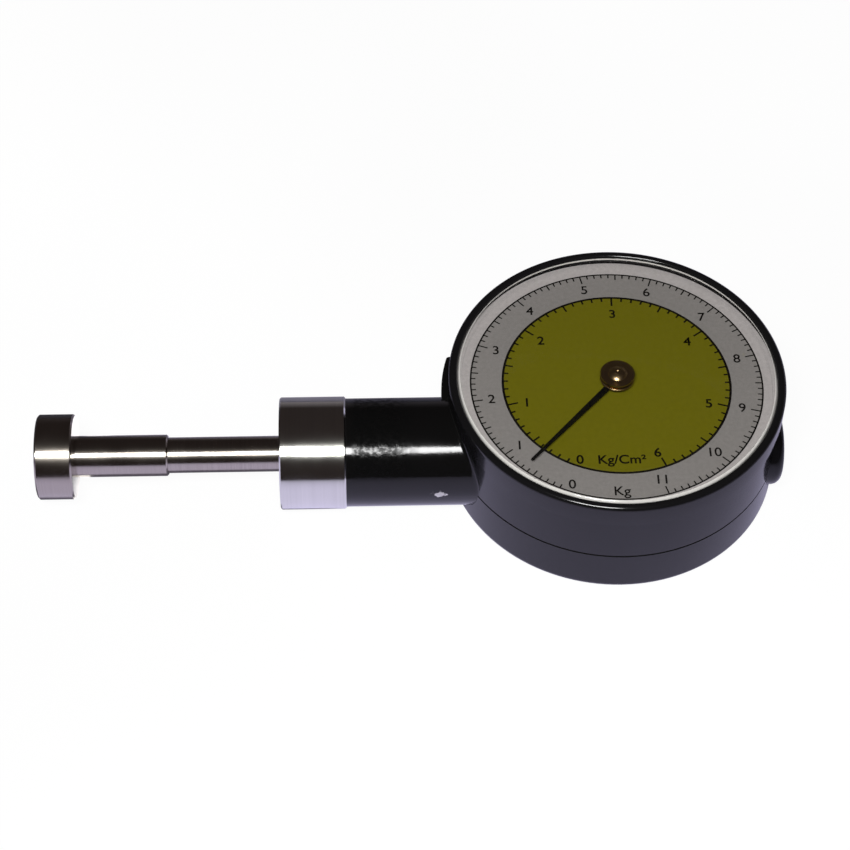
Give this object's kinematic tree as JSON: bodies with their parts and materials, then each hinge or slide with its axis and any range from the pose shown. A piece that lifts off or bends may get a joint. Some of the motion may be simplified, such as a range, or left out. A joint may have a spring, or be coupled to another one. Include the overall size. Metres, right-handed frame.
{
  "type": "automatic penetrometer",
  "caption": "Hand-held dial penetrometer: flat round steel tip on a sprung plunger, chrome collar, and a round black case with a load dial and a side reset button.",
  "frame": {"origin": "on the drum's axis, at its flat rear face", "axes": "+Z out of the dial, +X from the plunger to the reset button"},
  "size_m": [0.1311, 0.059, 0.0251],
  "materials": {
    "black_case": "gloss black",
    "bezel": "gloss black",
    "button": "gloss black",
    "chrome": "polished",
    "steel": "turned and polished",
    "brass": "turned",
    "dial": "printed, satin",
    "crystal": "clear",
    "pointer": "satin black",
    "spring_steel": "drawn wire",
    "pad": "matte"
  },
  "bodies": {
    "case": {"arbor_bushes": "brass", "bezel_ring": "bezel", "button_spring": "spring_steel", "case_body": "black_case", "crystal": "crystal", "dial_plate": "dial", "front_plate": "brass", "guide_bush": "brass", "guide_screws": "steel", "hairspring": "spring_steel", "hairspring_stud": "steel", "main_spring": "spring_steel", "mounting_screws": "steel", "neck_collar": "chrome", "plate_pillars": "brass", "plate_screws": "steel", "rack_brackets": "brass", "rear_cover": "black_case", "rear_cover_screws": "steel", "rear_plate": "brass", "spring_seat": "steel", "stem_guide": "brass"},
    "plunger": {"plunger_tip": "steel", "plunger_rod": "steel", "spring_flange": "steel", "flange_clip": "steel"},
    "rack": {"rack_slide": "brass"},
    "idler": {"idler_arbor": "steel", "idler_pinion": "brass", "idler_gear": "brass"},
    "pointer": {"centre_arbor": "steel", "centre_pinion": "brass", "brake_drum": "brass", "hairspring_collet": "brass", "pointer": "pointer", "pointer_hub": "brass"},
    "reset": {"reset_button": "button", "button_stem": "steel", "brake_slide": "steel", "brake_pad": "pad"}
  },
  "joints": [
    {"name": "plunger_slide", "type": "slide", "parent": "case", "child": "plunger", "axis": [1, 0, 0], "range_m": [-0.00056, 0.00928], "stiffness_N_per_m": 10960, "deforming": ["main_spring"]},
    {"name": "rack_travel", "type": "slide", "parent": "case", "child": "rack", "axis": [1, 0, 0], "range_m": [-0.00056, 0.00928]},
    {"name": "idler_turn", "type": "hinge", "parent": "case", "child": "idler", "pos_m": [-0.0084, 0, 0.01], "axis": [0, 0, 1], "range_deg": [-7.4, 121]},
    {"name": "pointer_turn", "type": "hinge", "parent": "case", "child": "pointer", "pos_m": [0, 0, 0.013], "axis": [0, 0, 1], "range_deg": [-302.3, 18.5], "deforming": ["hairspring"]},
    {"name": "reset_press", "type": "slide", "parent": "case", "child": "reset", "axis": [-1, 0, 0], "range_m": [0, 0.0012], "stiffness_N_per_m": 1500, "springref_m": -0.001, "deforming": ["button_spring"]}
  ],
  "couplings": [
    {"joint": "rack_travel", "follows": "plunger_slide", "ratio": 1},
    {"joint": "idler_turn", "follows": "plunger_slide", "rad_per_m": 227.27},
    {"joint": "pointer_turn", "follows": "plunger_slide", "rad_per_m": -568.18}
  ]
}
